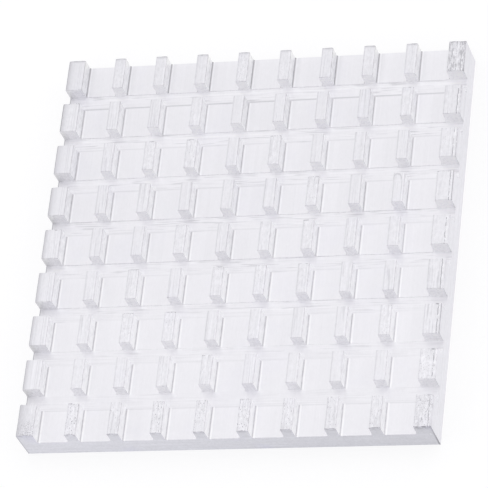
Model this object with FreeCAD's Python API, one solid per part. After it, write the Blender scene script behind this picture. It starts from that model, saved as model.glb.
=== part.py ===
"""Pin fin heat sink, modelled the way it is made.

A long aluminium bar is extruded with ten upright fins on a flat base.  A slice
of that bar is then cross-sawn by a gang of equal blades, which turns each fin
into a row of oblong pins.  Plate and pins are one piece of metal.

Frame: millimetres, +Z up, origin at the middle of the seating face.
X runs across the fins, and Y runs along them, the way the bar was extruded.
"""

import FreeCAD, Part
import math
import os

# --- Bar as extruded -------------------------------------------------------
plate_width = 50.0  # across the fins
base_thickness = 2.9  # from the seating face up to the channel floors
fin_height = 2.0  # from the channel floors up to the fin tips
fin_count = 10
inner_fin_thickness = 1.38  # at the tip
side_fin_thickness = 2.1  # at the tip of each of the two side fins
fin_draft = 0.02  # that much thicker at the root, on each channel side
tip_chamfer = 0.12  # along the tip edges of the fins
left_tip_radius = 0.2  # along the outside tip edge of the left side fin, which is rounder
root_radius = 0.15  # where a fin meets the channel floor
seat_radius = 0.3  # along the two long edges of the seating face

# --- Slice, and its cross cuts ---------------------------------------------
plate_length = 50.7  # along the fins
kerf_count = 8
kerf_width = 1.95
kerf_pitch = 5.8
kerf_overrun_front = 0.03  # how far the frontmost cut goes below the channel floors
kerf_overrun_back = 0.12  # and the rearmost one, as the slice lay slightly tilted
cutter_clearance = 1.0  # how far a cutter stands out past the metal it removes

# --- Worked out from the above ---------------------------------------------
total_height = base_thickness + fin_height
half_width = plate_width / 2
metal_across = 2 * side_fin_thickness + (fin_count - 2) * inner_fin_thickness
channel_width = (plate_width - metal_across) / (fin_count - 1)  # between the tips


def channel_sides():
    """The left and right edge in X of each channel, at the fin tips, from the left on."""
    left = -half_width + side_fin_thickness
    pitch = channel_width + inner_fin_thickness
    return [(left + index * pitch, left + index * pitch + channel_width) for index in range(fin_count - 1)]


def bar_corners():
    """Corners of the bar's section as (x, z, edge maker, size), clockwise from lower left."""
    corners = [
        (-half_width, 0.0, rounded, seat_radius),
        (-half_width, total_height, rounded, left_tip_radius),
    ]
    for left, right in channel_sides():
        corners += [
            (left, total_height, chamfered, tip_chamfer),
            (left + fin_draft, base_thickness, rounded, root_radius),
            (right - fin_draft, base_thickness, rounded, root_radius),
            (right, total_height, chamfered, tip_chamfer),
        ]
    corners += [
        (half_width, total_height, chamfered, tip_chamfer),
        (half_width, 0.0, rounded, seat_radius),
    ]
    return corners


def chamfered(corner, to_before, to_after, setback):
    """A straight edge that takes the same setback off both sides of the corner."""
    return Part.LineSegment(corner + to_before * setback, corner + to_after * setback)


def rounded(corner, to_before, to_after, radius):
    """An arc tangent to both sides of the corner."""
    half_angle = to_before.getAngle(to_after) / 2
    setback = radius / math.tan(half_angle)
    to_arc = radius / math.sin(half_angle) - radius
    bisector = (to_before + to_after).normalize()
    return Part.Arc(corner + to_before * setback, corner + bisector * to_arc, corner + to_after * setback)


def outline(corners):
    """A closed wire in the XZ plane through the corners, each finished by its edge maker."""
    points = [FreeCAD.Vector(x, 0, z) for x, z, _, _ in corners]
    turns = []
    for index, (_, _, edge_maker, size) in enumerate(corners):
        corner = points[index]
        to_before = (points[index - 1] - corner).normalize()
        to_after = (points[(index + 1) % len(points)] - corner).normalize()
        turns.append(edge_maker(corner, to_before, to_after, size))
    edges = []
    for index, turn in enumerate(turns):
        edges.append(Part.LineSegment(turns[index - 1].EndPoint, turn.StartPoint).toShape())
        edges.append(turn.toShape())
    return Part.Wire(edges)


def extruded_slice():
    """The slice of finned bar, before it is cross-cut."""
    section = Part.Face(outline(bar_corners()))
    section.translate(FreeCAD.Vector(0, -plate_length / 2, 0))
    return section.extrude(FreeCAD.Vector(0, plate_length, 0))


def kerf(index):
    """The metal that one blade takes out.  Index 0 is the cut nearest the front."""
    middle = (index - (kerf_count - 1) / 2) * kerf_pitch
    share = index / (kerf_count - 1)
    overrun = kerf_overrun_front + (kerf_overrun_back - kerf_overrun_front) * share
    floor = base_thickness - overrun
    return Part.makeBox(
        plate_width + 2 * cutter_clearance,
        kerf_width,
        total_height - floor + cutter_clearance,
        FreeCAD.Vector(-half_width - cutter_clearance, middle - kerf_width / 2, floor),
    )


def heat_sink():
    """The finished piece: the slice with every kerf sawn out of its fins."""
    return extruded_slice().cut([kerf(index) for index in range(kerf_count)])


def main():
    os.makedirs("parts", exist_ok=True)
    solids = heat_sink().Solids
    if len(solids) != 1:
        raise ValueError("the heat sink is one piece, and this makes %d" % len(solids))
    solids[0].exportStep("parts/heat_sink.step")
    box = solids[0].BoundBox
    print("heat_sink", round(box.XLength, 3), round(box.YLength, 3), round(box.ZLength, 3), "mm")
    print("valid", solids[0].isValid(), "volume", round(solids[0].Volume, 2), "mm3")


main()
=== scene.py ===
"""Pin fin heat sink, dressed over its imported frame: sawn plate and pins, and a plain studio."""

import math

import bmesh
import bpy
from bpy.props import FloatProperty, FloatVectorProperty, IntProperty, PointerProperty
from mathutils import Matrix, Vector, noise


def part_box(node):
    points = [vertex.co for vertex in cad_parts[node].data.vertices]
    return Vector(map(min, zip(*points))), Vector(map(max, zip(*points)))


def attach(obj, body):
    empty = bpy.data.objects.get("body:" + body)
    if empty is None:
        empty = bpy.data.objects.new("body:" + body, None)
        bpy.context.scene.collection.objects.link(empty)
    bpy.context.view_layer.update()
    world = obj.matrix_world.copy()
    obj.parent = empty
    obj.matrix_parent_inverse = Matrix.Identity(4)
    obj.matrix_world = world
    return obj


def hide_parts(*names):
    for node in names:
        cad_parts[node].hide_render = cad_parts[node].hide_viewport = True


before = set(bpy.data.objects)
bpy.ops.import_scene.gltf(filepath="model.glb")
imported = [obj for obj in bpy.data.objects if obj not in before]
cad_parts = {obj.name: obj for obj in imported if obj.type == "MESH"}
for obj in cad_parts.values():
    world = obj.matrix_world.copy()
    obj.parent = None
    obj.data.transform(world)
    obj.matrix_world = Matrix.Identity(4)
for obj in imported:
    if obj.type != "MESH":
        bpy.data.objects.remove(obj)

bl_info = {
    "name": "Pin Fin Heat Sink",
    "version": (1, 0, 0),
    "blender": (4, 5, 0),
    "location": "View3D > Sidebar > Heat Sink",
    "description": "Builds a cross-sawn pin fin heat sink in mill-finish aluminium and a studio for it",
    "category": "Object",
}

NODE = "heat_sink"
BODY = "root"
LOW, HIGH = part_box(NODE)
MM = 0.001
TOUCH = 0.002 * MM  # two heights or places closer than this are the same
SAME_POINT = 1e-8  # points closer than this are one point when a face is cut
X, Y, Z = Vector((1, 0, 0)), Vector((0, 1, 0)), Vector((0, 0, 1))

# How the plate is sawn.
CUT_CORNER = 0.04 * MM  # from the edge of a saw cut to its flat floor
FULL_DEPTH_CUT = 3  # the cuts before this one, counted from 0 at the front, are less deep

# How finely the pins are divided before they are worn.
STEP_ACROSS, STEP_ALONG = 0.23 * MM, 0.35 * MM
FEWEST_ACROSS, FEWEST_ALONG = 4, 8
END_STRIP = 0.08 * MM  # next to each sawn edge
RISES = (0.25, 0.5, 0.75, 0.93)  # up the sides, as shares of the height of a pin

# Where the pins are worn.
EDGES_FROM, TIPS_FROM = 0.7, 0.9  # shares of the height of a pin
EDGE_REACH = 0.04 * MM  # points this near to a sawn edge move with it
TORN_AT_FRONT = (0, 1, 6, 7, 8, 9)  # the fins whose front pins are torn most
SMOOTH_UNDER = math.radians(28)  # flatter edges than this are shaded smooth

# The studio.
FLOOR_REACH = 1.5  # from the middle of the floor to each side
FLOOR_GAP = 0.01 * MM  # how far the floor lies above the seating face, so that the two aren't in one plane
SENSOR_WIDTH = 36.0
NEAREST, FARTHEST = 0.01, 10.0  # what the camera can see
LAMPS = {"back_right": (0.3, 0.36, 0.65), "right": (0.7, 0.0, 0.4), "left": (-0.7, 0.05, 0.4)}


class HeatSinkSizes(bpy.types.PropertyGroup):
    """Sizes of the extruded bar and of the saw cuts across it."""

    base_thickness: FloatProperty(
        name="Base Thickness", description="From the seating face up to the channel floors",
        default=2.9 * MM, unit="LENGTH", precision=5)
    fin_count: IntProperty(name="Fins", description="Fins across the plate", default=10, min=3)
    inner_fin: FloatProperty(
        name="Inner Fin", description="Thickness of an inner fin at its tip",
        default=1.38 * MM, unit="LENGTH", precision=5)
    side_fin: FloatProperty(
        name="Side Fin", description="Thickness of each of the two side fins at its tip",
        default=2.1 * MM, unit="LENGTH", precision=5)
    kerf_count: IntProperty(name="Cuts", description="Saw cuts across the fins", default=8, min=1)
    kerf_width: FloatProperty(
        name="Cut Width", description="Width of one saw cut",
        default=1.95 * MM, unit="LENGTH", precision=5)
    kerf_pitch: FloatProperty(
        name="Cut Pitch", description="From one saw cut to the next",
        default=5.8 * MM, unit="LENGTH", precision=5)
    kerf_overrun: FloatProperty(
        name="Cut Overrun", description="How far the rearmost cut goes below the channel floors",
        default=0.12 * MM, unit="LENGTH", precision=5)
    root_radius: FloatProperty(
        name="Root Radius", description="Where a fin meets the channel floor",
        default=0.15 * MM, unit="LENGTH", precision=5)
    tip_chamfer: FloatProperty(
        name="Tip Chamfer", description="Along the tip edges of the fins",
        default=0.12 * MM, unit="LENGTH", precision=5)
    left_tip_radius: FloatProperty(
        name="Left Tip Radius", description="Along the outside tip edge of the left side fin",
        default=0.2 * MM, unit="LENGTH", precision=5)
    tip_wear: FloatProperty(
        name="Tip Wear", description="How unevenly the pin tips are rubbed down",
        default=0.02 * MM, unit="LENGTH", precision=5)
    edge_wear: FloatProperty(
        name="Edge Wear", description="How far the sawn edges of the pins wander",
        default=0.04 * MM, unit="LENGTH", precision=5)


class HeatSinkFinish(bpy.types.PropertyGroup):
    """Colours of the metal, some painted lighter, and how strongly the marks of making it and the painted shade show.
    """

    drawn_metal: FloatVectorProperty(
        name="Drawn Metal", description="Channel floors and fin sides, as the die left them",
        size=3, subtype="COLOR", min=0, max=1, default=(0.936, 0.933, 0.953))
    tip_metal: FloatVectorProperty(
        name="Tip Metal", description="Rubbed tips of the pins",
        size=3, subtype="COLOR", min=0, max=1, default=(0.888, 0.886, 0.906))
    # Painted light: the drawn metal of the fin sides, painted lighter, standing in for light on the sides.
    lit_side_metal: FloatVectorProperty(
        name="Lit Side Metal", description="Sides of the fins",
        size=3, subtype="COLOR", min=0, max=1, default=(0.962, 0.963, 0.969))
    outside_metal: FloatVectorProperty(
        name="Outside Metal", description="The two long outer sides of the plate",
        size=3, subtype="COLOR", min=0, max=1, default=(0.863, 0.858, 0.896))
    # Sawn metal of the pin ends, painted lighter too, standing in for light from the front.
    lit_sawn_metal: FloatVectorProperty(
        name="Lit Sawn Metal", description="Ends of the pins, where the cutter has gone through a fin",
        size=3, subtype="COLOR", min=0, max=1, default=(0.953, 0.95, 0.966))
    end_metal: FloatVectorProperty(
        name="End Metal", description="The two ends of the bar, cut off with a coarser saw",
        size=3, subtype="COLOR", min=0, max=1, default=(0.745, 0.745, 0.79))
    # The dark colour of every grey mark: real smut in tears and dents, and painted shade along the roots, tip edges
    # and cuts and on the left rounding.
    smut_and_shade: FloatVectorProperty(
        name="Smut And Shade", description="Grey left in roots, tears and dents",
        size=3, subtype="COLOR", min=0, max=1, default=(0.36, 0.355, 0.38))
    stain: FloatVectorProperty(
        name="Stain", description="Faint blue cast in soft patches",
        size=3, subtype="COLOR", min=0, max=1, default=(0.88, 0.88, 1.0))
    roughness: FloatProperty(
        name="Roughness", description="Of the drawn metal", subtype="FACTOR", min=0, max=1, default=0.42)
    die_lines: FloatProperty(
        name="Die Lines", description="Strength of the lines along the fins", subtype="FACTOR",
        min=0, max=1, default=0.08)
    saw_lines: FloatProperty(
        name="Saw Lines", description="Strength of the lines across the cuts", subtype="FACTOR",
        min=0, max=1, default=0.17)
    mottle: FloatProperty(
        name="Mottle", description="Strength of the blotches on the pin tips", subtype="FACTOR",
        min=0, max=1, default=0.1)
    # Strength of the painted shade along the roots, where the fins meet the channel floors.
    root_shade: FloatProperty(
        name="Root Shade", description="Strength of the grey line along the roots", subtype="FACTOR",
        min=0, max=1, default=0.55)
    # Strength of the painted shade along the tip edges and the front edges of the cuts, and of the scratches on the
    # tips.
    edge_marks_and_shade: FloatProperty(
        name="Edge Marks And Shade", description="Strength of the grey lines along tip edges and saw cuts",
        subtype="FACTOR", min=0, max=1, default=0.22)
    # Painted shade: the metal is painted greyer toward the back end, standing in for light that falls off toward the
    # back.
    painted_back_shade: FloatProperty(
        name="Painted Back Shade", description="How much greyer the metal is at the back end than at the front",
        subtype="FACTOR", min=0, max=1, default=0.1)


class HeatSinkStage(bpy.types.PropertyGroup):
    """The studio: camera, lights, floor."""

    focal_length: FloatProperty(
        name="Focal Length", description="Of the camera, on a 36 mm sensor", default=293.23, unit="CAMERA")
    camera_place: FloatVectorProperty(
        name="Camera", description="Where the camera stands", size=3, unit="LENGTH",
        default=(0.135533, -0.214454, 0.398506), precision=5)
    camera_turn: FloatVectorProperty(
        name="Camera Turn", description="Rotation of the camera", size=3, subtype="EULER",
        default=(math.radians(29.01519), math.radians(15.78511), math.radians(6.24244)))
    surroundings: FloatVectorProperty(
        name="Surroundings", description="Colour of the even light from all sides",
        size=3, subtype="COLOR", min=0, max=1, default=(0.903, 0.898, 0.921))
    floor_grey: FloatProperty(
        name="Floor Grey", description="How much of the light that falls on it the floor gives back",
        subtype="FACTOR", min=0, max=1, default=0.3)
    floor_glow: FloatProperty(
        name="Floor Glow", description="How bright the floor looks by itself, to the camera and in the metal",
        subtype="FACTOR", min=0, max=1, default=0.72)
    lamp_power: FloatProperty(
        name="Lamp Power", description="Of each soft lamp", default=0.3, unit="POWER", precision=3)
    lamp_size: FloatProperty(
        name="Lamp Size", description="Side of each square lamp", default=0.6, unit="LENGTH")


def spans_across(sizes):
    """Left and right side in X of each fin, from the left side of the plate to the right."""
    channel = (HIGH.x - LOW.x - 2 * sizes.side_fin - (sizes.fin_count - 2) * sizes.inner_fin) / (
        sizes.fin_count - 1)
    spans, left = [], LOW.x
    for index in range(sizes.fin_count):
        thickness = sizes.side_fin if index in (0, sizes.fin_count - 1) else sizes.inner_fin
        spans.append((left, left + thickness))
        left += thickness + channel
    return spans


def kerf_spans(sizes):
    """Front and back of each saw cut in Y, from the front of the plate to the back."""
    middle = (LOW.y + HIGH.y) / 2
    spans = []
    for index in range(sizes.kerf_count):
        centre = middle + (index - (sizes.kerf_count - 1) / 2) * sizes.kerf_pitch
        spans.append((centre - sizes.kerf_width / 2, centre + sizes.kerf_width / 2))
    return spans


def row_spans(sizes):
    """Front and back of each row of pins in Y, from the front of the plate to the back."""
    kerfs = kerf_spans(sizes)
    fronts = [LOW.y] + [back for _, back in kerfs]
    backs = [front for front, _ in kerfs] + [HIGH.y]
    return list(zip(fronts, backs))


def cut_at(bm, places, axis, above=-math.inf):
    """Cuts the faces that lie above a height with planes square to the axis at the places."""
    for place in places:
        geom = set()
        for face in bm.faces:
            if face.calc_center_median().z > above:
                geom.update((face, *face.edges, *face.verts))
        bmesh.ops.bisect_plane(bm, geom=list(geom), plane_co=axis * place, plane_no=axis, dist=SAME_POINT)


def within(value, spans):
    """Whether the value lies in one of the spans."""
    return any(low < value < high for low, high in spans)


def slab(top):
    """The plate without fins, as a bmesh."""
    bm = bmesh.new()
    bmesh.ops.create_cube(bm, size=1.0)
    size = HIGH - LOW
    bmesh.ops.scale(bm, vec=(size.x, size.y, top - LOW.z), verts=bm.verts)
    centre = (LOW + HIGH) / 2
    bmesh.ops.translate(bm, vec=(centre.x, centre.y, (top + LOW.z) / 2), verts=bm.verts)
    return bm


def raise_pins(bm, fins, rows, top):
    """Extrudes the pins out of the slab."""
    footprints = []
    for face in bm.faces:
        centre = face.calc_center_median()
        if face.normal.z > 0.9 and within(centre.x, fins) and within(centre.y, rows):
            footprints.append(face)
    raised = bmesh.ops.extrude_face_region(bm, geom=footprints)["geom"]
    bmesh.ops.delete(bm, geom=footprints, context="FACES_ONLY")
    verts = [v for v in raised if isinstance(v, bmesh.types.BMVert)]
    bmesh.ops.translate(bm, vec=(0, 0, HIGH.z - top), verts=verts)


def edges_along(bm, height, places, rows):
    """Edges that run along Y at a height, at any of the places in X and within the rows."""
    found = []
    for edge in bm.edges:
        a, b = edge.verts[0].co, edge.verts[1].co
        middle = (a + b) / 2
        if abs(a.x - b.x) > TOUCH or abs(a.z - b.z) > TOUCH or abs(a.z - height) > TOUCH:
            continue
        if within(middle.y, rows) and any(abs(a.x - place) < TOUCH for place in places):
            found.append(edge)
    return found


def soften(bm, edges, size, segments):
    """Bevels the edges to the size."""
    bmesh.ops.bevel(
        bm, geom=edges, offset=size, offset_type="OFFSET", segments=segments, profile=0.5,
        affect="EDGES", clamp_overlap=True, material=-1)


def deepen_cuts(bm, kerfs, overrun):
    """Lowers the floors of the saw cuts below the channel floors, more toward the back."""
    for vert in bm.verts:
        for index, (front, back) in enumerate(kerfs):
            if front + CUT_CORNER / 2 < vert.co.y < back - CUT_CORNER / 2 and vert.co.z > LOW.z + TOUCH:
                vert.co.z -= overrun * min(1.0, index / FULL_DEPTH_CUT)


def steps_between(low, high, step, fewest):
    """Places that divide a span evenly into steps of about the size given."""
    count = max(fewest, round((high - low) / step))
    return [low + (high - low) * index / count for index in range(1, count)]


def divide_pins(bm, fins, rows, top):
    """Divides the faces of the pins finely enough to be worn down."""
    across, along = [], []
    for left, right in fins:
        across += steps_between(left, right, STEP_ACROSS, FEWEST_ACROSS)
    for front, back in rows:
        along += steps_between(front, back, STEP_ALONG, FEWEST_ALONG) + [front + END_STRIP, back - END_STRIP]
    cut_at(bm, across, X, top + TOUCH)
    cut_at(bm, along, Y, top + TOUCH)
    cut_at(bm, [top + (HIGH.z - top) * rise for rise in RISES], Z, top + TOUCH)


def uneven(*numbers):
    """Smooth noise from about -1 to 1 at a place given in millimetres."""
    return noise.noise(Vector(numbers)) * 1.6


def near(value, place, reach):
    """How near the value is to the place: 1 there, 0 a reach away."""
    return max(0.0, 1.0 - abs(value - place) / reach)


def nearest(value, spans):
    """Number of the span whose middle is nearest to the value."""
    return min(range(len(spans)), key=lambda index: abs(value - sum(spans[index]) / 2))


def how_torn(fin, row, last_fin):
    """How many times as much as the plainest pins a pin is worn."""
    front = row == 0
    return 1.0 + 0.6 * front + 1.4 * (front and fin in TORN_AT_FRONT) + 0.8 * (fin == last_fin)


def wear_pins(bm, sizes, fins, rows, top):
    """Moves the points of the pins as rubbing and sawing left them: uneven tips, wandering sawn edges."""
    for vert in bm.verts:
        x, y, z = vert.co
        rise = (z - top) / (HIGH.z - top)
        if rise < EDGES_FROM:
            continue
        fin, row = nearest(x, fins), nearest(y, rows)
        front, back = rows[row]
        px, py = x / MM, y / MM
        lot = 7.3 * fin + 3.1 * row  # gives each pin its own part of the noise
        torn = how_torn(fin, row, len(fins) - 1)
        if rise > TIPS_FROM:
            rub = 0.5 + 0.5 * uneven(px * 1.3, py * 0.8, lot) + 0.4 * uneven(px * 4.0, py * 3.0, lot)
            at_end = max(near(y, front, 0.3 * MM), 0.8 * near(y, back, 0.25 * MM))
            drop = at_end * sizes.edge_wear * (0.4 + 0.8 * (fin == 0) + 0.5 * uneven(px * 2.0, lot, row))
            vert.co.z -= max(0.0, rub) * sizes.tip_wear * torn + max(0.0, drop)
        reach = sizes.edge_wear * (rise - EDGES_FROM) / (1.0 - EDGES_FROM) * torn
        if abs(y - front) < EDGE_REACH:
            vert.co.y += reach * max(0.0, 0.35 + 0.9 * uneven(px * 3.0, lot, 1.0))
        if abs(y - back) < EDGE_REACH:
            vert.co.y -= reach * max(0.0, 0.35 + 0.8 * uneven(px * 2.2, lot, 5.0))


def shade(bm, kerf_lines, top):
    """Smooth faces, with sharp edges at corners and all along the saw cuts."""
    for face in bm.faces:
        face.smooth = True
    for edge in bm.edges:
        a, b = edge.verts[0].co, edge.verts[1].co
        on_kerf = (
            abs(a.y - b.y) < TOUCH and max(a.z, b.z) < top + 0.1 * MM
            and any(abs(a.y - place) < TOUCH for place in kerf_lines))
        edge.smooth = edge.calc_face_angle(0.0) < SMOOTH_UNDER and not on_kerf


class Wiring:
    """Adds nodes to one tree and joins them."""

    def __init__(self, tree):
        self.tree = tree

    def put(self, value, socket):
        """Links or writes a value into a socket."""
        if isinstance(value, bpy.types.NodeSocket):
            self.tree.links.new(value, socket)
        else:
            socket.default_value = value

    def node(self, kind, settings=None, **values):
        """One node with its settings, and values for the inputs named."""
        made = self.tree.nodes.new(kind)
        for name, setting in (settings or {}).items():
            setattr(made, name, setting)
        for name, value in values.items():
            self.put(value, made.inputs[name])
        return made

    def group(self, tree, **values):
        """The outputs of one node that holds an effect."""
        return self.node("ShaderNodeGroup", {"node_tree": tree}, **values).outputs

    def math(self, operation, *values):
        """One Math node."""
        made = self.node("ShaderNodeMath", {"operation": operation})
        for socket, value in zip(made.inputs, values):
            self.put(value, socket)
        return made.outputs[0]

    def fold(self, operation, values):
        """Math nodes in a row, from the first two values to the last."""
        result = values[0]
        for value in values[1:]:
            result = self.math(operation, result, value)
        return result

    def all(self, *values):
        """Product of masks and strengths."""
        return self.fold("MULTIPLY", values)

    def sum(self, *values):
        """Sum of tones or distances."""
        return self.fold("ADD", values)

    def most(self, *values):
        """The strongest of some masks."""
        return self.fold("MAXIMUM", values)

    def less(self, value, taken):
        """The value with the second one taken away."""
        return self.math("SUBTRACT", value, taken)

    def without(self, mask):
        """1 where the mask is 0, and 0 where it is 1."""
        return self.less(1.0, mask)

    def size(self, value):
        """The value without its sign."""
        return self.math("ABSOLUTE", value)

    def ramp(self, value, start, end, low=0.0, high=1.0):
        """Low up to the start, high from the end, and a smooth rise between."""
        made = self.node("ShaderNodeMapRange", {"interpolation_type": "SMOOTHSTEP"})
        for socket, number in zip(made.inputs, (value, start, end, low, high)):
            self.put(number, socket)
        return made.outputs[0]

    def ridge(self, value, centre, width):
        """1 at the centre, falling smoothly to 0 a width away on either side."""
        return self.ramp(self.size(self.less(value, centre)), 0.0, width, 1.0, 0.0)

    def from_number(self, count, number, low=0.0, high=1.0):
        """Low while a whole count is below the number, high from it on."""
        return self.ramp(count, number - 0.8, number - 0.2, low, high)

    def only(self, count, number):
        """1 where a whole count is the number, 0 elsewhere."""
        return self.ridge(count, number, 0.5)

    def mix(self, factor, first, second, blend="MIX"):
        """First colour at factor 0, second colour at factor 1, or the two blended."""
        made = self.node("ShaderNodeMix", {"data_type": "RGBA", "blend_type": blend})
        for index, value in ((0, factor), (6, first), (7, second)):
            self.put((*value, 1.0) if isinstance(value, tuple) else value, made.inputs[index])
        return made.outputs[2]

    def noise(self, place, scale, detail=3.0, roughness=0.5):
        """Smooth noise, about 0.5."""
        made = self.node("ShaderNodeTexNoise", Vector=place, Scale=scale, Detail=detail, Roughness=roughness)
        return made.outputs["Fac"]

    def stretched(self, place, scales):
        """The place with each axis scaled."""
        made = self.node("ShaderNodeVectorMath", {"operation": "MULTIPLY"})
        self.put(place, made.inputs[0])
        self.put(scales, made.inputs[1])
        return made.outputs["Vector"]

    def scaled(self, place, scale):
        """The place or colour with all its parts scaled alike."""
        made = self.node("ShaderNodeVectorMath", {"operation": "SCALE"}, Scale=scale)
        self.put(place, made.inputs[0])
        return made.outputs["Vector"]

    def distance(self, place, other):
        """How far one place is from another."""
        made = self.node("ShaderNodeVectorMath", {"operation": "DISTANCE"})
        self.put(place, made.inputs[0])
        self.put(other, made.inputs[1])
        return made.outputs["Value"]

    def split(self, place):
        """X, Y and Z of a vector."""
        return self.node("ShaderNodeSeparateXYZ", Vector=place).outputs

    def join(self, x, y, z):
        """A vector from three numbers."""
        return self.node("ShaderNodeCombineXYZ", X=x, Y=y, Z=z).outputs[0]


FLOAT, VECTOR = "NodeSocketFloat", "NodeSocketVector"


def effect(name, inputs, outputs):
    """A shader node group with named inputs and outputs: its tree, wiring, inputs and outputs."""
    tree = bpy.data.node_groups.new(name, "ShaderNodeTree")
    for label, kind, default in inputs:
        socket = tree.interface.new_socket(label, in_out="INPUT", socket_type=kind)
        if default is not None:
            socket.default_value = default
    for label, kind in outputs:
        tree.interface.new_socket(label, in_out="OUTPUT", socket_type=kind)
    source, sink = tree.nodes.new("NodeGroupInput"), tree.nodes.new("NodeGroupOutput")
    return tree, Wiring(tree), source.outputs, sink.inputs


def channel_and_pitch(sizes):
    """Width of a channel, and the step from one inner fin to the next, in millimetres."""
    side, inner = spans_across(sizes)[:2]
    return (inner[0] - side[1]) / MM, (inner[1] - side[1]) / MM


def pin_grid(sizes):
    """Effect: where a point lies in the grid of pins, in millimetres from the grid's own lines."""
    tree, w, _, out = effect(
        "pin_grid", [],
        [("Place", VECTOR), ("Across", FLOAT), ("From Front", FLOAT), ("From Back", FLOAT),
         ("Fin", FLOAT), ("Row", FLOAT), ("Rise", FLOAT), ("Chance", FLOAT)])
    fins, rows = spans_across(sizes), row_spans(sizes)
    channel, pitch = channel_and_pitch(sizes)
    place = w.stretched(w.node("ShaderNodeTexCoord").outputs["Object"], (1 / MM,) * 3)
    x, y, z = w.split(place)
    across = w.less(x, fins[0][1] / MM)
    fin = w.math("CEIL", w.math("DIVIDE", w.less(across, channel / 2), pitch))
    step = sizes.kerf_pitch / MM
    length = step - sizes.kerf_width / MM
    inner_front = rows[1][0] / MM - step
    row = w.math("FLOOR", w.math("DIVIDE", w.less(y, inner_front - sizes.kerf_width / MM / 2), step))
    longer = inner_front - LOW.y / MM
    behind = w.less(w.less(y, inner_front), w.all(row, step))
    at_front = w.from_number(row, 1, longer, 0.0)
    at_back = w.from_number(row, sizes.kerf_count, 0.0, longer)
    chance = w.node("ShaderNodeTexWhiteNoise", {"noise_dimensions": "2D"}, Vector=w.join(fin, row, 0.0))
    results = {
        "Place": place,
        "Across": w.math("FLOORED_MODULO", across, pitch),
        "From Front": w.sum(behind, at_front),
        "From Back": w.less(w.sum(at_back, length), behind),
        "Fin": fin,
        "Row": row,
        "Rise": w.less(z, (LOW.z + sizes.base_thickness) / MM),
        "Chance": chance.outputs["Value"],
    }
    for name, value in results.items():
        w.put(value, out[name])
    return tree


def fine_lines():
    """Effect: lines along the third axis of the place given, soft ones and thin scratches."""
    tree, w, into, out = effect(
        "fine_lines", [("Place", VECTOR, None), ("Closeness", FLOAT, 4.0)],
        [("Lines", FLOAT), ("Scratches", FLOAT)])
    close = w.scaled(into["Place"], into["Closeness"])
    thin = w.noise(w.stretched(close, (1.0, 1.0, 0.02)), 1.0, 4.0, 0.7)
    wide = w.noise(w.stretched(into["Place"], (0.7, 0.7, 0.12)), 1.0, 2.0)
    w.put(w.all(w.less(thin, 0.5), w.ramp(wide, 0.3, 0.7, 0.3, 1.7)), out["Lines"])
    single = w.noise(w.stretched(close, (0.9, 0.9, 0.045)), 1.0, 1.0)
    w.put(w.all(w.ramp(single, 0.56, 0.66), w.ramp(wide, 0.4, 0.6, 0.3, 1.0)), out["Scratches"])
    return tree


def blotches():
    """Effect: soft blotches and small specks."""
    tree, w, into, out = effect(
        "blotches", [("Place", VECTOR, None), ("Size", FLOAT, 1.0)], [("Blotch", FLOAT), ("Specks", FLOAT)])
    place = w.scaled(into["Place"], w.math("DIVIDE", 1.0, into["Size"]))
    w.put(w.less(w.noise(place, 1.6, 4.0, 0.7), 0.5), out["Blotch"])
    w.put(w.ramp(w.noise(place, 3.2, 2.0, 0.6), 0.58, 0.68), out["Specks"])
    return tree


def torn_edge():
    """Effect: the torn line along the tip of the right side fin, and beside it the painted highlight of the raised
    metal.
    """
    tree, w, into, out = effect(
        "torn_edge", [("Place", VECTOR, None), ("Inset", FLOAT, 0.0), ("Row", FLOAT, 0.0)],
        [("Tear", FLOAT), ("Burr Highlight", FLOAT)])
    y = w.split(into["Place"])["Y"]
    wander = w.all(w.less(w.noise(w.join(3.0, y, into["Row"]), 1.5, 4.0, 0.7), 0.5), 0.35)
    away = w.less(into["Inset"], w.sum(wander, 0.42))
    gaps = w.ramp(w.noise(w.join(2.0, y, 7.0), 1.1, 3.0, 0.7), 0.4, 0.54)
    w.put(w.all(w.ridge(away, 0.0, 0.095), gaps), out["Tear"])
    beads = w.ramp(w.noise(into["Place"], 4.0, 2.0), 0.46, 0.6)
    w.put(w.all(w.ridge(away, -0.13, 0.09), beads), out["Burr Highlight"])
    return tree


# Rows, counted from 0 at the front, where a side fin or a single pin differs from the rest.
BRUISED_ROW = 7  # its left edge is knocked dark
CHIPPED_ROW = 5  # the last inner fin has a curved chip in its tip
DARK_RIM_ROWS = (2, 5)  # the painted shadow of the raised edge runs all along the right tip edge
SPARED_ROW = 4.7  # about here the right side fin is worn least
# Strength of the painted shadow along the front edge of a cut: everywhere, then what is added further back and at the
# last cuts.
CUT_LINE, CUT_LINE_LATER, CUT_LINE_LAST = 0.14, 0.25, 0.7


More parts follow.
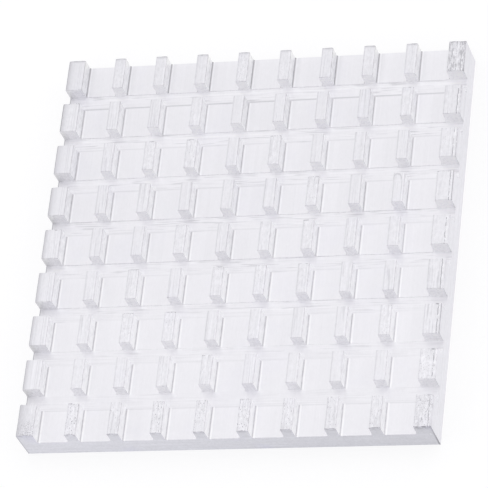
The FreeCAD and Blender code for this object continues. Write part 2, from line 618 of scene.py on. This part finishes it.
class Finish:
    """The nodes of the metal: kinds of surface first, then the marks on each.

    Distances are in millimetres: across from the right side of the fin on the left, from the front and the back of
    the pin, rise from the channel floor, inset from the right side of the plate. Masks and greys go from 0 to 1, and
    tones are shares of the metal's own brightness.
    """

    def __init__(self, tree, sizes, finish):
        self.w = w = Wiring(tree)
        self.sizes, self.finish = sizes, finish
        grid = w.group(pin_grid(sizes))
        self.place, self.across, self.from_front, self.from_back = grid[:4]
        self.fin, self.row, self.rise, self.chance = grid[4:]
        self.x, self.y, self.z = w.split(self.place)
        self.low, self.high = LOW / MM, HIGH / MM
        self.inset = w.less(self.high.x, self.x)
        self.from_left = w.less(self.x, self.low.x)
        self.channel, self.pitch = channel_and_pitch(sizes)
        self.height = (HIGH.z - LOW.z - sizes.base_thickness) / MM
        self.last_fin = w.from_number(self.fin, sizes.fin_count - 1)
        self.first_fin = w.from_number(self.fin, 1, 1.0, 0.0)
        self.front_row = w.from_number(self.row, 1, 1.0, 0.0)
        self.back_row = w.from_number(self.row, sizes.kerf_count)
        self.kinds_of_surface()
        lines, spots = fine_lines(), blotches()
        self.die = w.group(lines, Place=w.join(self.x, self.z, self.y), Closeness=5.0)
        shorter = w.all(self.x, w.sum(1.0, w.all(self.in_cut, 0.5)))
        closer = w.all(self.y, w.sum(1.0, w.all(self.in_cut, 0.4)))
        self.saw = w.group(lines, Place=w.join(closer, self.z, shorter), Closeness=4.5)
        self.coarse = w.group(spots, Place=self.place, Size=0.8)
        self.fine = w.group(spots, Place=w.stretched(self.place, (1.15, 0.42, 0.8)), Size=0.42)
        torn = w.group(torn_edge(), Place=self.place, Inset=self.inset, Row=self.row)
        # The torn line is a groove in the bump, and its grey is partly painted shade; the strip beside it is a
        # painted highlight.
        self.tear, self.burr_highlight = w.all(torn["Tear"], self.tip), w.all(torn["Burr Highlight"], self.tip)
        self.ragged = w.noise(self.place, 2.2, 3.0, 0.7)
        self.worn = self.wear()

    def kinds_of_surface(self):
        """Masks: rubbed tips, sides, sawn pin ends, outer sides, bar ends, channel floors and cuts."""
        w = self.w
        facing = w.split(w.node("ShaderNodeTexCoord").outputs["Normal"])
        self.tip = w.ramp(self.rise, self.height - 0.25, self.height - 0.12)
        self.sideways = w.ramp(w.size(facing["X"]), 0.5, 0.8)
        self.endways = w.ramp(w.size(facing["Y"]), 0.5, 0.8)
        self.bent = w.ramp(w.size(facing["X"]), 0.96, 0.995, 1.0, 0.0)
        self.flat = w.without(self.endways)
        self.outside = w.all(self.sideways, w.ramp(w.size(self.x), self.high.x - 0.1, self.high.x - 0.02))
        self.at_end = w.all(self.endways, w.ramp(w.size(self.y), self.high.y - 0.25, self.high.y - 0.2))
        self.inside = w.less(self.sideways, self.outside)
        self.above = w.ramp(self.rise, -0.3, -0.2)
        self.low_down = w.all(w.ramp(self.rise, 0.1, 0.3, 1.0, 0.0), self.above)
        self.in_row = w.ramp(w.math("MINIMUM", self.from_front, self.from_back), -0.05, 0.02)
        self.in_cut = w.all(w.without(self.in_row), self.low_down)
        self.channel_floor = w.all(self.low_down, self.in_row)
        self.sawn = w.most(self.in_cut, self.endways)
        self.drawn = w.without(self.sawn)
        self.behind_front = w.without(self.front_row)
        self.right_of_first = w.without(self.first_fin)

    def metal_colour(self):
        """Colour of the bare metal on each kind of surface, with a faint stain in soft patches."""
        w, finish = self.w, self.finish
        colour = w.mix(self.tip, tuple(finish.drawn_metal), tuple(finish.tip_metal))
        colour = w.mix(self.sideways, colour, tuple(finish.lit_side_metal))
        colour = w.mix(self.outside, colour, tuple(finish.outside_metal))
        colour = w.mix(self.endways, colour, tuple(finish.lit_sawn_metal))
        colour = w.mix(self.at_end, colour, tuple(finish.end_metal))
        patches = w.ramp(w.noise(self.place, 0.175, 2.0), 0.52, 0.68)
        stained = w.all(patches, w.sum(0.06, w.all(self.at_end, 0.22)))
        return w.mix(stained, colour, tuple(finish.stain), "MULTIPLY")

    def wear(self):
        """How strongly the tips are worn, which differs from pin to pin."""
        w = self.w
        smooth = w.all(self.first_fin, w.most(
            w.all(self.behind_front, 0.45), w.ramp(self.from_front, 1.2, 2.6, 0.0, 0.6)))
        spared = w.all(self.last_fin, w.ridge(self.row, SPARED_ROW, 1.6), 0.65)
        return w.all(w.without(smooth), w.without(spared), w.sum(
            w.ramp(self.chance, 0.2, 1.0, 0.35, 1.5), self.front_row, w.all(self.last_fin, 0.7),
            w.all(self.back_row, 0.4)))

    def texture_tone(self):
        """Lighter and darker lines and blotches."""
        w, finish = self.w, self.finish
        along_die = w.all(self.die["Lines"], self.drawn, w.sum(
            0.4, w.all(self.tip, 1.05), w.all(self.sideways, 1.6), w.all(self.outside, 0.2)))
        back_half = w.ramp(self.from_back, -1.3, -0.6, 1.2, 0.5)
        across_cut = w.all(self.saw["Lines"], self.sawn, w.sum(back_half, w.all(self.at_end, 0.2)))
        mottled = w.sum(w.all(self.coarse["Blotch"], 0.5), w.all(self.fine["Blotch"], 1.25))
        surface = w.sum(
            w.all(self.tip, self.worn), w.all(self.endways, 1.45), w.all(self.at_end, -0.75),
            w.all(self.inside, 2.1), w.all(self.outside, 0.6), 0.3)
        return w.sum(
            w.all(along_die, finish.die_lines * 2), w.all(across_cut, finish.saw_lines * 2),
            w.all(mottled, surface, finish.mottle * 2))

    def tone(self):
        """How much lighter or darker than the bare metal, about 0."""
        w, finish = self.w, self.finish
        single_pins = w.all(w.less(self.chance, 0.5), self.above, 0.02)
        # Painted shade toward the back end on tips, fin sides and channel floors, and painted light on the pin ends
        # there.
        toward_back = w.all(
            w.ramp(self.y, self.low.y, self.high.y, 0.5, -0.5), finish.painted_back_shade,
            w.sum(
                w.all(self.tip, 0.36), w.all(self.inside, 0.5), w.all(self.channel_floor, 0.28),
                w.all(self.endways, -0.2)))
        toward_right = w.all(self.at_end, w.ramp(self.x, self.low.x, self.high.x, 0.025, -0.08))
        # Painted light on the cut floors under the fins, lifting the shade in front of the pins.
        painted_light_under_fins = w.all(self.in_cut, w.ramp(self.across, self.channel - 0.3, self.channel + 0.1, 0.0, 0.026))
        # On the pin ends: darker low down and lighter high up, painted shade on the first fin toward its left side,
        # and painted light toward the back rows.
        ends = w.all(self.endways, w.sum(
            w.all(self.behind_front, w.ramp(self.rise, 0.0, 1.8, -0.014, 0.018)),
            w.all(self.behind_front, self.first_fin, w.ramp(self.from_left, 0.0, 1.3, -0.18, -0.035)),
            w.all(self.front_row, self.right_of_first, w.ramp(self.rise, 0.0, 0.3, 0.0, -0.025)),
            w.ramp(self.row, 4.0, 6.0, 0.01, 0.022)))
        sides = w.all(self.inside, w.sum(
            w.ramp(self.from_front, 0.2, 3.6, 0.018, -0.014), w.ramp(self.from_front, 0.2, 0.7, 0.02, 0.0),
            w.all(self.first_fin, -0.025)))
        right_strip = w.all(self.tip, w.ramp(self.inset, 0.15, 0.3, -0.03, 0.0))
        # Painted highlight: a light line on the channel floor beside the root of the fin on the left.
        painted_root_highlight = w.all(w.ridge(self.across, 0.22, 0.15), self.channel_floor, w.sum(
            w.ramp(self.row, 2.0, 7.5, 0.13, 0.085), w.all(w.sum(self.front_row, self.first_fin), 0.03)))
        # Painted shade on the channel floor beside the fin on the left, twice as strong at the back row.
        painted_shade_by_root = w.all(w.ramp(self.across, 0.35, 1.1, -0.035, 0.0), self.channel_floor, w.sum(1.0, self.back_row))
        thrown = w.all(w.ridge(self.from_front, -0.5, 0.14), self.in_cut, w.ramp(self.row, 3.2, 7.8, 0.0, 0.05))
        return w.sum(
            self.texture_tone(), single_pins, toward_back, toward_right, painted_root_highlight, painted_shade_by_root, thrown, painted_light_under_fins, ends,
            sides, right_strip)

    def roots_and_cuts(self):
        """Painted shade along the roots of the fins and painted shadow along the front edges of the cuts, with saw
        scratches and grey near the left side.
        """
        w, finish = self.w, self.finish
        wider = w.all(self.first_fin, w.ridge(self.row, 5.5, 2.5), 0.025)
        # Painted shade in the corners where the fins meet the channel floor, stronger at the back row.
        near_root = w.most(
            w.ridge(self.across, w.sum(0.04, wider), w.sum(0.17, wider)),
            w.ridge(self.across, self.channel - 0.03, 0.2))
        strength = w.sum(w.ramp(self.x, self.low.x, self.high.x, 0.76, 0.62), w.all(self.back_row, 0.38))
        root = w.all(near_root, self.channel_floor, self.flat, strength, finish.root_shade)
        # Painted shadow along the front edge of each cut, stronger toward the back.
        step = w.sum(
            CUT_LINE, w.ramp(self.row, 2.2, 4.8, 0.0, CUT_LINE_LATER),
            w.from_number(self.row, self.sizes.kerf_count - 1, 0.0, CUT_LINE_LAST))
        cut = w.all(w.ridge(self.from_back, -0.2, 0.17), self.low_down, step, finish.edge_marks_and_shade * 1.6)
        first_cut = w.all(
            w.ridge(self.from_back, 0.03, 0.13), self.low_down, self.front_row, finish.edge_marks_and_shade * 0.7)
        scratched = w.all(
            self.saw["Scratches"], self.in_cut, w.ramp(self.row, 0.5, 4.0, 0.2, 1.0), finish.saw_lines * 1.5)
        left_side = w.all(
            w.sum(w.ramp(self.from_left, 0.05, 0.16, 0.5, 0.0), w.ramp(self.from_left, 0.2, 0.9, 0.16, 0.0)),
            self.low_down, self.flat, w.without(self.sideways))
        return w.most(root, left_side, cut, first_cut, scratched)

    def edges_of_tips(self):
        """Grey lines along the tip edges, painted shade at their chamfers, and scratches and specks on the tips."""
        w, finish = self.w, self.finish
        later = w.sum(w.ramp(self.row, 0.0, 8.0, 0.7, 1.0), w.all(self.front_row, 0.3))
        left = w.all(w.ridge(self.across, self.channel + 0.12, 0.15), w.from_number(self.fin, 1), 0.85)
        right = w.all(w.most(w.ridge(self.across, 0.0, 0.1), w.ridge(self.across, self.pitch, 0.1)), later)
        second = w.all(w.ridge(self.across, self.pitch - 0.3, 0.07), w.ramp(self.chance, 0.3, 0.6, 0.05, 0.45))
        lines = w.all(w.most(left, right, second), w.ramp(self.inset, 1.0, 1.2))
        grooves = w.most(w.ridge(self.across, self.pitch - 0.64, 0.08), w.ridge(self.across, self.pitch - 0.42, 0.07))
        scratches = w.all(
            self.die["Scratches"], w.ramp(self.chance, 0.0, 0.7, 0.9, 0.75), w.without(w.all(self.first_fin, 0.4)))
        on_tip = w.all(
            w.most(lines, scratches, w.all(grooves, self.first_fin, 0.6)), self.tip, finish.edge_marks_and_shade)
        below = w.all(self.sideways, finish.edge_marks_and_shade, w.most(
            w.all(w.ridge(self.rise, self.height - 0.32, 0.09), 0.5),
            w.all(w.ridge(self.rise, self.height - 0.09, 0.16), 0.3)))
        specks = w.all(self.fine["Specks"], self.tip, w.sum(
            w.ramp(self.worn, 0.35, 2.4, 0.0, 0.5), w.all(self.front_row, self.right_of_first, 0.2)))
        return w.most(on_tip, below, specks)

    def left_edge(self):
        """Painted shade of the rounded left edge, and grey at the plate's left corners."""
        w = self.w
        front_band = w.all(
            self.front_row, w.ramp(self.from_left, 0.2, 0.45, 0.0, 0.13), w.ramp(self.from_left, 1.2, 1.7, 1.0, 0.0))
        # Painted shade that gives the left tip edge the look of a wide rounding.
        curved = w.sum(
            w.ramp(self.from_left, 0.05, 0.55, 0.26, 0.0), w.ramp(self.from_left, 0.3, 1.2, 0.13, 0.0), front_band)
        bruised = w.all(w.only(self.row, BRUISED_ROW), w.ramp(self.from_left, 0.08, 0.15, 0.35, 0.0))
        rounded = w.all(
            w.most(curved, w.sum(w.ramp(self.from_left, 0.06, 0.2, 0.72, 0.0), bruised)),
            w.ramp(self.rise, 0.6, 1.6, 0.4, 1.0), self.bent, w.without(w.all(self.endways, 0.85)))
        corner_line = w.all(w.ramp(self.from_left, 0.1, 0.24, 0.3, 0.0), self.at_end)
        return w.most(rounded, corner_line)

    def right_edge(self):
        """Grey of the right tip edge: the torn line, the rim painted dark as the shadow of the raised metal, and
        marks at the corners and ends.
        """
        w = self.w
        dots = w.ramp(w.noise(self.place, 3.0, 2.0, 0.6), 0.4, 0.6, 0.3, 1.5)
        dark_rim_rows = w.most(*[w.only(self.row, row) for row in DARK_RIM_ROWS])
        # Painted shadow of the raised metal along the very right edge of the tip.
        rim = w.all(
            w.ramp(self.inset, 0.05, 0.15, 1.0, 0.0), self.tip, w.without(self.sideways),
            w.most(w.all(dots, w.from_number(self.row, 6, 0.12, 0.4)), w.all(dark_rim_rows, 0.8)))
        corner = w.all(
            self.last_fin, self.tip, w.ramp(self.from_back, 0.1, 0.22, 1.0, 0.0), w.ridge(self.inset, 0.55, 0.35),
            w.from_number(self.row, 3, 0.9, 0.0))
        streaks = w.ramp(w.noise(w.stretched(self.place, (4.5, 1.2, 1.0)), 1.0, 3.0, 0.7), 0.45, 0.62, 0.04, 0.5)
        blackened = w.all(self.last_fin, self.back_row, self.tip, streaks)
        end_strength = w.sum(0.14, w.all(self.at_end, w.ramp(self.rise, -2.2, 1.6, 0.66, 0.22)))
        burred = w.all(self.endways, w.ramp(self.inset, 0.1, 0.27, 1.0, 0.0), end_strength)
        return w.most(w.all(self.tear, 0.68), rim, corner, blackened, burred)

    def ends_of_pins(self):
        """Grey of nicks, pits and shadowed edges at the front and back ends of the pins."""
        w = self.w
        reach = w.sum(w.ramp(self.ragged, 0.35, 0.65, -0.05, 0.15), w.all(self.back_row, 0.06))
        nicked = w.math("GREATER_THAN", reach, self.from_back)
        marked = w.most(w.ramp(self.chance, 0.72, 0.78), w.all(self.back_row, 0.8))
        back_edge = w.all(nicked, marked, self.tip, 0.5)
        # Darker band at the back end of the back row's tips.
        darker_back_end = w.all(self.back_row, self.tip, w.ramp(self.from_back, 0.05, 0.5, 0.24, 0.0))
        shadowed = w.all(
            self.front_row, self.endways, w.ramp(self.rise, self.height - 1.0, self.height - 0.1),
            w.ramp(self.ragged, 0.42, 0.6, 0.02, 0.34), w.sum(1.0, self.last_fin))
        dent = w.all(
            w.ridge(self.across, 1.2, 0.4), w.ridge(self.from_front, 0.03, 0.14), self.low_down, self.last_fin,
            self.front_row, 0.35)
        pits = w.ramp(w.noise(self.place, 7.0, 2.0, 0.6), 0.49, 0.62, 0.0, 0.5)
        side_fins = w.sum(
            w.all(self.first_fin, w.ramp(self.from_front, 1.2, 2.6, 1.0, 0.0)), w.all(self.last_fin, 0.45))
        pitted = w.all(pits, side_fins, self.front_row, self.tip)
        from_fin_left = w.less(self.across, self.channel)
        round_chip = w.distance(w.join(w.all(from_fin_left, 1.35), self.from_back, 0.0), (0.68, 0.85, 0.0))
        chip = w.all(
            w.ridge(round_chip, 0.7, 0.2), w.ramp(self.from_back, 0.75, 1.15, 1.0, 0.0), self.tip,
            w.only(self.fin, self.sizes.fin_count - 2), w.only(self.row, CHIPPED_ROW), 0.3)
        return w.most(back_edge, darker_back_end, shadowed, dent, pitted, chip)


def metal(sizes, finish):
    """Mill-finish aluminium: drawn along the fins, sawn across them."""
    material = bpy.data.materials.new("mill_finish_aluminium")
    material.use_nodes = True
    bsdf = material.node_tree.nodes["Principled BSDF"]
    made = Finish(material.node_tree, sizes, finish)
    w = made.w
    dark = w.most(
        made.roots_and_cuts(), made.edges_of_tips(), made.left_edge(), made.right_edge(), made.ends_of_pins())
    # The bare metal with its tones, lightened by the painted highlight beside the torn line.
    bare = w.scaled(made.metal_colour(), w.sum(1.0, made.tone(), w.all(made.burr_highlight, 0.13)))
    # Grey marks, real ones and painted shade alike, mix the metal toward the dark colour.
    w.put(w.mix(dark, bare, tuple(finish.smut_and_shade)), bsdf.inputs["Base Color"])
    rough = w.sum(finish.roughness, w.all(made.tip, 0.13), w.all(made.endways, 0.12), w.all(dark, 0.2))
    w.put(rough, bsdf.inputs["Roughness"])
    bsdf.inputs["Metallic"].default_value = 1.0
    lines = w.sum(w.all(made.die["Lines"], made.drawn), w.all(made.saw["Lines"], made.sawn))
    rubbed = w.all(made.tip, made.worn, made.coarse["Blotch"], 0.8)
    relief = w.less(w.sum(lines, rubbed), w.all(made.tear, 0.8))
    bump = w.node("ShaderNodeBump", Strength=0.4, Distance=0.02 * MM, Height=relief)
    w.put(bump.outputs["Normal"], bsdf.inputs["Normal"])
    return material


class HEATSINK_OT_build_body(bpy.types.Operator):
    """Model the plate and its pins as one sawn piece of metal"""

    bl_idname = "heatsink.build_body"
    bl_label = "Plate and Pins"

    def execute(self, context):
        sizes = context.scene.heat_sink_sizes
        top = LOW.z + sizes.base_thickness
        fins, rows, kerfs = spans_across(sizes), row_spans(sizes), kerf_spans(sizes)
        bm = slab(top)
        fin_sides = [side for span in fins for side in span][1:-1]
        kerf_lines = [
            place for front, back in kerfs for place in (front, front + CUT_CORNER, back - CUT_CORNER, back)]
        cut_at(bm, fin_sides, X)
        cut_at(bm, kerf_lines, Y)
        raise_pins(bm, fins, rows, top)
        soften(bm, edges_along(bm, top, fin_sides, rows), sizes.root_radius, segments=3)
        soften(bm, edges_along(bm, HIGH.z, fin_sides + [HIGH.x], rows), sizes.tip_chamfer, segments=2)
        soften(bm, edges_along(bm, HIGH.z, [LOW.x], rows), sizes.left_tip_radius, segments=4)
        deepen_cuts(bm, kerfs, sizes.kerf_overrun)
        divide_pins(bm, fins, rows, top)
        wear_pins(bm, sizes, fins, rows, top)
        bmesh.ops.recalc_face_normals(bm, faces=bm.faces)
        shade(bm, kerf_lines, top)
        if any(not edge.is_manifold for edge in bm.edges):
            raise RuntimeError("the plate is not a closed mesh")
        mesh = bpy.data.meshes.new("plate_and_pins")
        bm.to_mesh(mesh)
        bm.free()
        body = bpy.data.objects.new("plate_and_pins", mesh)
        context.scene.collection.objects.link(body)
        mesh.materials.append(metal(sizes, context.scene.heat_sink_finish))
        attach(body, BODY)
        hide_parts(NODE)
        return {"FINISHED"}


def floor_material(stage):
    """Plain white that keeps a shadow, and looks as white in the metal as to the camera."""
    material = bpy.data.materials.new("floor_white")
    material.use_nodes = True
    bsdf = material.node_tree.nodes["Principled BSDF"]
    bsdf.inputs["Base Color"].default_value = (*[stage.floor_grey] * 3, 1.0)
    bsdf.inputs["Roughness"].default_value = 1.0
    bsdf.inputs["Specular IOR Level"].default_value = 0.0
    w = Wiring(material.node_tree)
    path = w.node("ShaderNodeLightPath").outputs
    seen = w.most(path["Is Camera Ray"], path["Is Glossy Ray"], path["Is Transmission Ray"])
    glow = w.node("ShaderNodeEmission", Strength=w.all(seen, stage.floor_glow))
    both = w.node("ShaderNodeAddShader")
    w.put(bsdf.outputs[0], both.inputs[0])
    w.put(glow.outputs[0], both.inputs[1])
    w.put(both.outputs[0], material.node_tree.nodes["Material Output"].inputs["Surface"])
    return material


def lay_floor(scene, stage):
    """The floor that the heat sink lies on."""
    bm = bmesh.new()
    bmesh.ops.create_grid(bm, x_segments=1, y_segments=1, size=FLOOR_REACH)
    mesh = bpy.data.meshes.new("floor")
    bm.to_mesh(mesh)
    bm.free()
    floor = bpy.data.objects.new("floor", mesh)
    floor.location.z = LOW.z + FLOOR_GAP
    scene.collection.objects.link(floor)
    mesh.materials.append(floor_material(stage))


def light(scene, stage):
    """Even light from all sides, and soft lamps that point at the heat sink."""
    world = bpy.data.worlds.new("studio")
    scene.world = world
    world.use_nodes = True
    world.node_tree.nodes["Background"].inputs["Color"].default_value = (*stage.surroundings, 1.0)
    world.node_tree.nodes["Background"].inputs["Strength"].default_value = 1.0
    for name, place in LAMPS.items():
        lamp = bpy.data.lights.new(name, "AREA")
        lamp.shape = "SQUARE"
        lamp.size = stage.lamp_size
        lamp.energy = stage.lamp_power
        holder = bpy.data.objects.new(name, lamp)
        holder.location = place
        holder.rotation_euler = (-Vector(place)).to_track_quat("-Z", "Y").to_euler()
        scene.collection.objects.link(holder)


def set_camera(scene, stage):
    """The camera, above the front right corner."""
    lens = bpy.data.cameras.new("camera")
    lens.lens = stage.focal_length
    lens.sensor_width = SENSOR_WIDTH
    lens.clip_start, lens.clip_end = NEAREST, FARTHEST
    camera = bpy.data.objects.new("camera", lens)
    camera.location = stage.camera_place
    camera.rotation_euler = stage.camera_turn
    scene.collection.objects.link(camera)
    scene.camera = camera


class HEATSINK_OT_build_stage(bpy.types.Operator):
    """Set out the floor, the lights and the camera"""

    bl_idname = "heatsink.build_stage"
    bl_label = "Stage"

    def execute(self, context):
        scene, stage = context.scene, context.scene.heat_sink_stage
        lay_floor(scene, stage)
        light(scene, stage)
        set_camera(scene, stage)
        scene.view_settings.view_transform = "Standard"
        return {"FINISHED"}


class HEATSINK_PT_panel(bpy.types.Panel):
    """Lists the steps that build the heat sink and its studio"""

    bl_idname = "HEATSINK_PT_panel"
    bl_label = "Pin Fin Heat Sink"
    bl_space_type = "VIEW_3D"
    bl_region_type = "UI"
    bl_category = "Heat Sink"

    def draw(self, context):
        layout = self.layout
        layout.operator(HEATSINK_OT_build_body.bl_idname)
        layout.operator(HEATSINK_OT_build_stage.bl_idname)


CLASSES = (
    HeatSinkSizes, HeatSinkFinish, HeatSinkStage, HEATSINK_OT_build_body, HEATSINK_OT_build_stage, HEATSINK_PT_panel)


def register():
    """Adds the settings, the steps and the panel."""
    for cls in CLASSES:
        bpy.utils.register_class(cls)
    bpy.types.Scene.heat_sink_sizes = PointerProperty(type=HeatSinkSizes)
    bpy.types.Scene.heat_sink_finish = PointerProperty(type=HeatSinkFinish)
    bpy.types.Scene.heat_sink_stage = PointerProperty(type=HeatSinkStage)


def unregister():
    """Takes them out again."""
    del bpy.types.Scene.heat_sink_stage
    del bpy.types.Scene.heat_sink_finish
    del bpy.types.Scene.heat_sink_sizes
    for cls in reversed(CLASSES):
        bpy.utils.unregister_class(cls)


def main():
    """Builds the heat sink and its studio."""
    register()
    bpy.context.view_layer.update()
    bpy.ops.heatsink.build_body()
    bpy.ops.heatsink.build_stage()


if __name__ == "__main__":
    main()
